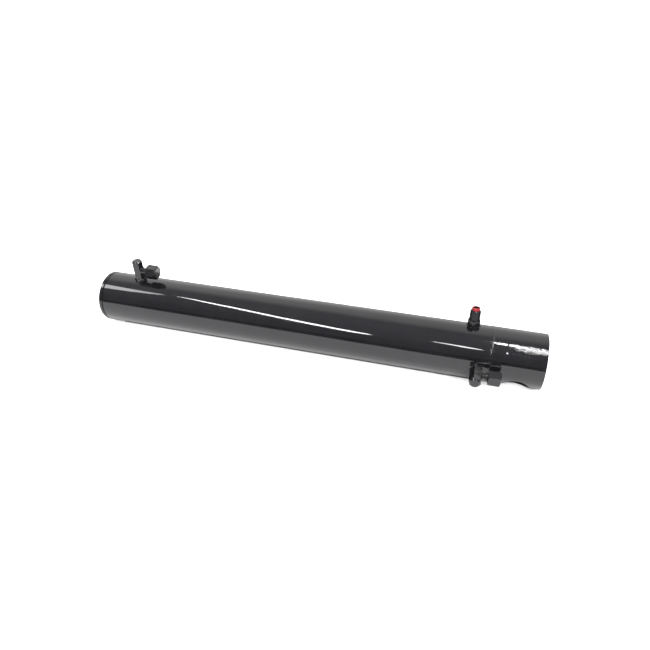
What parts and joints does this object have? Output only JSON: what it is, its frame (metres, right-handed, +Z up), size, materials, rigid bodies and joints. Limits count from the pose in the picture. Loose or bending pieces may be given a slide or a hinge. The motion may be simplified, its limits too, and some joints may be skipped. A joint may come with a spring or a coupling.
{
  "type": "telescopic hydraulic cylinder",
  "caption": "Retracted telescopic hydraulic cylinder: painted barrel with nested chromed stages, an open base sleeve, capped elbow ports and a push-in vent.",
  "frame": {"origin": "centre of the base sleeve's open mouth, on the barrel's axis", "axes": "+X out of the base sleeve's mouth along the barrel's axis, so the stages leave towards -X; +Z up, towards the head port and the vent; -Y towards the base port's stem"},
  "size_m": [0.572, 0.0938, 0.0941],
  "materials": {
    "barrel_paint": "high gloss black enamel",
    "sleeve_paint": "gloss black enamel over a rough turned surface",
    "fitting_black": "satin black",
    "black_plastic": "moulded black",
    "red_plastic": "moulded red",
    "chrome": "hard chrome, ground",
    "steel": "turned",
    "rubber": "nitrile",
    "urethane": "blue polyurethane",
    "guide_nylon": "filled nylon"
  },
  "bodies": {
    "barrel": {"barrel_tube": "barrel_paint", "head_gland": "barrel_paint", "head_wiper": "urethane", "head_rod_seal": "urethane", "head_guide_ring": "guide_nylon", "head_o_ring": "rubber", "base_plug": "steel", "base_plug_o_ring": "rubber", "base_sleeve": "sleeve_paint", "seam_weld": "barrel_paint", "lock_screw": "steel", "port_a_washer": "steel", "port_a_lock_nut": "fitting_black", "port_a_elbow": "fitting_black", "port_a_cap_nut": "fitting_black", "port_b_washer": "steel", "port_b_lock_nut": "fitting_black", "port_b_elbow": "fitting_black", "port_b_cap_nut": "fitting_black", "vent_washer": "rubber", "vent_stud": "fitting_black", "vent_body": "black_plastic", "vent_tube_seal": "rubber", "vent_grab_ring": "steel"},
    "stage_1": {"stage_1_tube": "chrome", "stage_1_piston": "steel", "stage_1_piston_seal": "urethane", "stage_1_piston_guide": "guide_nylon", "stage_1_stop_tube": "steel", "stage_1_gland": "steel", "stage_1_wiper": "urethane", "stage_1_rod_seal": "urethane", "stage_1_guide_ring": "guide_nylon", "stage_1_o_ring": "rubber"},
    "stage_2": {"stage_2_tube": "chrome", "stage_2_piston": "steel", "stage_2_piston_seal": "urethane", "stage_2_piston_guide": "guide_nylon", "stage_2_stop_tube": "steel", "stage_2_gland": "steel", "stage_2_wiper": "urethane", "stage_2_rod_seal": "urethane", "stage_2_guide_ring": "guide_nylon", "stage_2_o_ring": "rubber"},
    "plunger": {"plunger_rod": "chrome", "plunger_piston": "steel", "plunger_piston_seal": "urethane", "plunger_piston_guide": "guide_nylon", "plunger_stop_tube": "steel", "plunger_nut": "steel"},
    "release_collar": {"vent_release_collar": "red_plastic"}
  },
  "joints": [
    {"name": "stage_1_slide", "type": "slide", "parent": "barrel", "child": "stage_1", "axis": [-1, 0, 0], "range_m": [0, 0.385]},
    {"name": "stage_2_slide", "type": "slide", "parent": "stage_1", "child": "stage_2", "axis": [-1, 0, 0], "range_m": [0, 0.385]},
    {"name": "plunger_slide", "type": "slide", "parent": "stage_2", "child": "plunger", "axis": [-1, 0, 0], "range_m": [0, 0.385]},
    {"name": "release_collar_press", "type": "slide", "parent": "barrel", "child": "release_collar", "axis": [0, -0.1392, -0.9903], "range_m": [0, 0.0012], "stiffness_N_per_m": 400}
  ]
}
